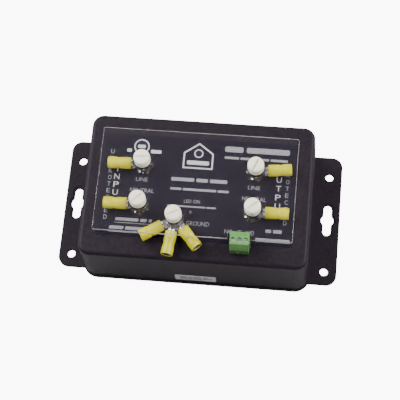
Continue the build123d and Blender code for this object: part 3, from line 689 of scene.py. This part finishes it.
def joined(solids):
    verts, faces = [], []
    for more_verts, more_faces in solids:
        start = len(verts)
        verts += more_verts
        faces += [[start + v for v in face] for face in more_faces]
    return verts, faces


def ring_outline(x, y, radius, count=RING_SEGMENTS):
    turns = [2 * pi * index / count for index in range(count)]
    return [(x + radius * cos(turn), y + radius * sin(turn)) for turn in turns]


def words(text, x, y, width, height, level):
    """A word as thin solid letters, fitted to a box in millimetres about (x, y)."""
    font = bpy.data.curves.new("word", "FONT")
    font.body = text
    font.fill_mode = "BOTH"
    font.resolution_u = 4
    font.extrude = 0.01
    mesh = curve_mesh(font, "word", 0)
    across = [v.co.x for v in mesh.vertices]
    along = [v.co.y for v in mesh.vertices]
    scale_x = width / (max(across) - min(across))
    scale_y = height / (max(along) - min(along))
    verts = []
    for v in mesh.vertices:
        px = x + (v.co.x - (max(across) + min(across)) / 2) * scale_x
        py = y + (v.co.y - (max(along) + min(along)) / 2) * scale_y
        pz = level + (PRINT_THICK if v.co.z > 0 else 0)
        verts.append(Vector((px * MM, py * MM, pz)))
    faces = [list(polygon.vertices) for polygon in mesh.polygons]
    bpy.data.meshes.remove(mesh)
    return verts, faces


def stacked(text, x, first, pitch, width, height, level):
    """Upright letters one under another, down from the first one's middle."""
    return [words(letter, x, first - pitch * i, width * (NARROW_I if letter == "I" else 1), height, level)
            for i, letter in enumerate(text)]


def bars(level, x, y, width, height, parts, slope=0.0):
    """A row of bars that stands for a line of words: parts are the words' shares of the width."""
    gap = height * BAR_GAP
    free = width - gap * (len(parts) - 1)
    left = x - width / 2
    solids = []
    for share in parts:
        length = free * share / sum(parts)
        outline = slab(left, left + length, y - height / 2, y + height / 2, min(height, length) * 0.3)
        solids.append(prism(slanted(outline, y, slope), level, PRINT_THICK))
        left += length + gap
    return solids


def terminal_words(level):
    return joined([words(*word, level) for word in TERMINAL_WORDS] + bars(level, *LED_ROW))


def end_words(level):
    return joined([letter for column in END_COLUMNS for letter in stacked(*column, level)])


def side_words(level):
    return joined([letter for column in SIDE_COLUMNS for letter in stacked(*column, level)])


def text_bars(level):
    solids = [bar for row in TEXT_ROWS for bar in bars(level, *row)]
    solids += [prism(slab(*line, UNDERLINE_CORNER), level, PRINT_THICK) for line in UNDERLINES]
    return joined(solids)


def flat_ring(level, x, y, outer, inner, count=RING_SEGMENTS):
    return band(ring_outline(x, y, outer, count), ring_outline(x, y, inner, count), level, PRINT_THICK)


def plain_marks(level):
    """Generic shapes in the places of the two marks: a ringed bar and an outlined house."""
    solids = [flat_ring(level, *BADGE), prism(slab(*BADGE_BAR), level, PRINT_THICK)]
    for row in BADGE_SIDES:
        solids += bars(level, *row)
    solids.append(band(HOUSE_OUTER, HOUSE_INNER, level, PRINT_THICK))
    solids += bars(level, *HOUSE_BAR)
    solids.append(flat_ring(level, *HOUSE_RING, RING_SEGMENTS // 2))
    return joined(solids)


def label_print(bright, faint):
    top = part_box("label_panel")[1].z - PRINT_THICK / 4
    makers = {
        "print_terminal_words": (terminal_words, faint),
        "print_end_words": (end_words, faint),
        "print_side_words": (side_words, bright),
        "print_text_bars": (text_bars, faint),
        "print_plain_marks": (plain_marks, bright),
    }
    for name, (maker, finish) in makers.items():
        verts, faces = maker(top)
        finish_piece(new_object(name, verts, faces, smooth=False), "housing", "label_film", finish)


def sticker_print(finish):
    """Small dark bars on the silver tag, which leans with the front wall."""
    low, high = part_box("front_sticker")
    verts, faces = joined([bar for row in TAG_ROWS for bar in bars(0.0, *row)])
    turn = Matrix.Rotation(pi / 2 - radians(TAG_LEAN), 4, "X")
    place = Matrix.Translation((low + high) / 2) @ turn @ Matrix.Translation((0, 0, TAG_STANDOFF))
    made = new_object("sticker_bars", [place @ v for v in verts], faces, smooth=False)
    finish_piece(made, "housing", "sticker_film", finish)


# ------------------------------------------------------------------ setting
def camera_only(tree, seen, lit, output):
    """The camera sees one shader, and every other ray sees another."""
    path = tree.nodes.new("ShaderNodeLightPath")
    choose = tree.nodes.new("ShaderNodeMixShader")
    tree.links.new(path.outputs["Is Camera Ray"], choose.inputs["Fac"])
    tree.links.new(lit, choose.inputs[1])
    tree.links.new(seen, choose.inputs[2])
    tree.links.new(choose.outputs["Shader"], output.inputs["Surface"])


def floor():
    """A plain white floor for the camera; everything else sees it darker, as under a light tent."""
    half, level = FLOOR_HALF, FLOOR_LEVEL
    verts = [(-half, -half, level), (half, -half, level), (half, half, level), (-half, half, level)]
    made = new_object("floor", verts, [[0, 1, 2, 3]], smooth=False)
    material, tree, shader = new_material("floor")
    shader.inputs["Base Color"].default_value = (0.34, 0.33, 0.34, 1)
    shader.inputs["Roughness"].default_value = 0.9
    glow = tree.nodes.new("ShaderNodeEmission")
    glow.inputs["Strength"].default_value = BACKDROP_GLOW
    camera_only(tree, glow.outputs["Emission"], shader.outputs["BSDF"], tree.nodes["Material Output"])
    made.data.materials.append(material)


def sky():
    world = bpy.data.worlds.new("sky")
    SCENE.world = world
    world.use_nodes = True
    tree = world.node_tree
    dim = tree.nodes["Background"]
    dim.inputs["Color"].default_value = (1.0, 0.90, 1.06, 1)
    dim.inputs["Strength"].default_value = SKY_GLOW
    bright = tree.nodes.new("ShaderNodeBackground")
    bright.inputs["Strength"].default_value = BACKDROP_GLOW
    camera_only(tree, bright.outputs["Background"], dim.outputs["Background"], tree.nodes["World Output"])


def softbox(name, azimuth, elevation, distance, width, height, watts):
    """An area light that faces the part. Azimuth turns from the front (-Y) toward +X."""
    lamp = bpy.data.lights.new(name, "AREA")
    lamp.shape = "RECTANGLE"
    lamp.size = width
    lamp.size_y = height
    lamp.energy = watts
    made = bpy.data.objects.new(name, lamp)
    SCENE.collection.objects.link(made)
    turn, rise = radians(azimuth), radians(elevation)
    direction = Vector((sin(turn) * cos(rise), -cos(turn) * cos(rise), sin(rise)))
    made.location = LIGHT_AIM + direction * distance
    made.rotation_euler = direction.to_track_quat("Z", "Y").to_euler()
    made.visible_camera = False


def camera():
    """A viewpoint above the front, turned a little to the right and rolled."""
    azimuth, elevation, roll = radians(CAMERA_AZIMUTH), radians(CAMERA_ELEVATION), radians(CAMERA_ROLL)
    back = Vector((sin(azimuth) * cos(elevation), -cos(azimuth) * cos(elevation), sin(elevation)))
    right = Vector((cos(azimuth), sin(azimuth), 0))
    up = back.cross(right)
    across = right * cos(roll) - up * sin(roll)
    over = right * sin(roll) + up * cos(roll)
    lens = bpy.data.cameras.new("camera")
    lens.lens = CAMERA_LENS
    lens.sensor_width = CAMERA_SENSOR
    made = bpy.data.objects.new("camera", lens)
    SCENE.collection.objects.link(made)
    turn = Matrix((across, over, back)).transposed().to_4x4()
    made.matrix_world = Matrix.Translation(CAMERA_AIM + back * CAMERA_DISTANCE) @ turn
    SCENE.camera = made


def lights():
    for name, values in SOFTBOXES.items():
        softbox(name, *values)


# ------------------------------------------------------------------ build
lens_low, lens_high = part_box("light_pipe")
FINISHES = {
    "case_plastic": case_plastic(),
    "label_film": label_film(),
    "sticker_film": sticker_film(),
    "clear_plastic": clear_plastic(),
    "white_nylon": white_nylon(),
    "yellow_vinyl": yellow_vinyl(),
    "tinned_copper": tinned_copper(),
    "nickel_brass": nickel_brass(),
    "spring_steel": spring_steel(),
    "zinc_steel": zinc_steel(),
    "green_plastic": green_plastic(),
    "circuit_board": circuit_board(),
    "bare_copper": bare_copper(),
    "enamel_copper": enamel_copper(),
    "ferrite": ferrite(),
    "varistor_coat": varistor_coat(),
    "cutoff_body": cutoff_body(),
    "ceramic_white": ceramic_white(),
    "capacitor_box": capacitor_box(),
    "relay_plastic": relay_plastic(),
    "led_lens": led_lens((lens_low + lens_high) / 2),
    "resistor_body": resistor_body(),
}
dress_nodes(FINISHES)
for stud_name in STUD_NAMES:
    thumb_screw(stud_name, FINISHES["white_nylon"])
# A dark finish painted into the sleeves' bores as shade.
sleeve_bore_shade = bore_painted_shade()
for sleeve_name in SLEEVE_NAMES:
    vinyl_sleeve(sleeve_name, FINISHES["yellow_vinyl"], sleeve_bore_shade)
safety_cover(FINISHES["clear_plastic"], frosted_edge_highlight())
label_print(label_ink(), faint_ink())
sticker_print(sticker_ink())
floor()
sky()
lights()
camera()
